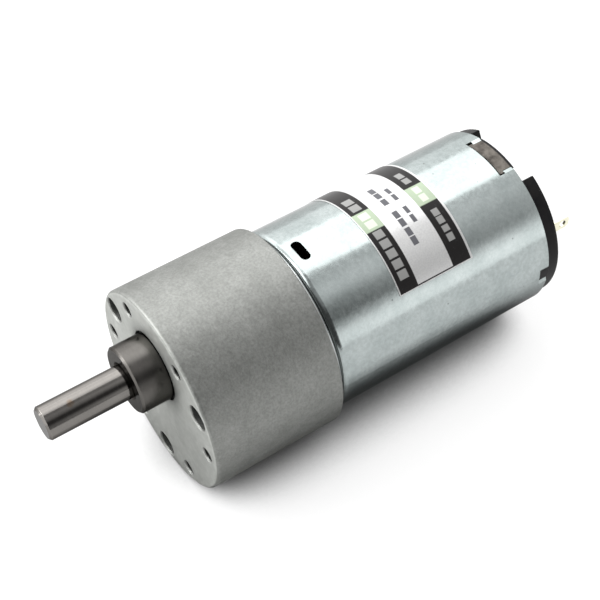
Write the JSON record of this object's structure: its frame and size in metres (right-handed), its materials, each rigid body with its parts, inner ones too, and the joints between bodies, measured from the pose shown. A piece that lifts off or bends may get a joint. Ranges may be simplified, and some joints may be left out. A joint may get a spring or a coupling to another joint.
{
  "type": "geared dc motor",
  "caption": "Round brushed DC motor on a spur reduction gearbox, with an off-centre D-cut output shaft, a ring of tapped face holes and rear solder terminals.",
  "frame": {"origin": "centre of the gearbox's front mounting face, on the housing's own axis, which is also the centre of the ring of mounting holes", "axes": "-Y is the way the output shaft points and the mounting face looks, +Y runs back along the motor, +Z is the way the output shaft is offset from the housing's axis, +X is to the right when the mounting face is looked at from the front"},
  "size_m": [0.037, 0.1024, 0.037],
  "materials": {
    "die_cast": "matte, sand-textured die-cast zinc alloy",
    "bearing_steel": "machined and oiled",
    "shaft_steel": "ground",
    "plated_steel": "bright zinc plate",
    "plate_steel": "bright zinc plate",
    "screw_steel": "blackened",
    "pin_steel": "ground",
    "gear_steel": "sintered, oiled",
    "gear_brass": "machined",
    "washer_nylon": "matte",
    "spring_steel": "blued",
    "bronze": "sintered, oil-filled",
    "ferrite": "ground ceramic",
    "cap_plastic": "fine-grained",
    "carbon": "pressed carbon",
    "copper_alloy": "rolled",
    "tinned_brass": "tinned",
    "label_film": "printed silver film",
    "lamination": "stacked sheet, lacquered edges",
    "insulator": "fibre",
    "copper_wire": "enamelled wire",
    "phenolic": "moulded",
    "ceramic": "fired"
  },
  "bodies": {
    "motor_frame": {"gearbox_housing": "die_cast", "output_bush": "bearing_steel", "back_plate": "plate_steel", "assembly_screws": "screw_steel", "motor_screws": "screw_steel", "gear_pins": "pin_steel", "pin_washers": "washer_nylon", "pin_spacers": "gear_brass", "motor_can": "plated_steel", "front_bush": "bronze", "rear_bush": "bronze", "magnets": "ferrite", "magnet_clip": "spring_steel", "end_cap": "cap_plastic", "brushes": "carbon", "brush_arms": "copper_alloy", "terminals": "tinned_brass", "label": "label_film"},
    "output": {"output_shaft": "shaft_steel", "output_gear": "gear_steel", "output_washer": "gear_brass", "output_clip": "spring_steel"},
    "first_cluster": {"first_wheel": "gear_brass", "first_pinion": "gear_steel"},
    "second_cluster": {"second_wheel": "gear_steel", "second_pinion": "gear_steel"},
    "third_cluster": {"third_wheel": "gear_steel", "third_pinion": "gear_steel"},
    "rotor": {"rotor_shaft": "pin_steel", "motor_pinion": "gear_brass", "armature_core": "lamination", "slot_liners": "insulator", "windings": "copper_wire", "commutator_hub": "phenolic", "commutator_bars": "copper_alloy", "varistor": "ceramic", "rotor_washers": "washer_nylon", "rotor_sleeve": "gear_brass"}
  },
  "joints": [
    {"name": "rotor_spin", "type": "hinge", "parent": "motor_frame", "child": "rotor", "pos_m": [0, 0, 0], "axis": [0, -1, 0], "continuous": true},
    {"name": "first_cluster_spin", "type": "hinge", "parent": "motor_frame", "child": "first_cluster", "pos_m": [0.00879, 0, -0.00042], "axis": [0, -1, 0], "continuous": true},
    {"name": "second_cluster_spin", "type": "hinge", "parent": "motor_frame", "child": "second_cluster", "pos_m": [0.00101, 0, -0.00586], "axis": [0, -1, 0], "continuous": true},
    {"name": "third_cluster_spin", "type": "hinge", "parent": "motor_frame", "child": "third_cluster", "pos_m": [0.00879, 0, -0.00042], "axis": [0, -1, 0], "continuous": true},
    {"name": "output_spin", "type": "hinge", "parent": "motor_frame", "child": "output", "pos_m": [0, 0, 0.007], "axis": [0, -1, 0], "continuous": true}
  ],
  "couplings": [
    {"joint": "first_cluster_spin", "follows": "rotor_spin", "ratio": -0.375},
    {"joint": "second_cluster_spin", "follows": "rotor_spin", "ratio": 0.17308},
    {"joint": "third_cluster_spin", "follows": "rotor_spin", "ratio": -0.079882},
    {"joint": "output_spin", "follows": "rotor_spin", "ratio": 0.028194}
  ]
}
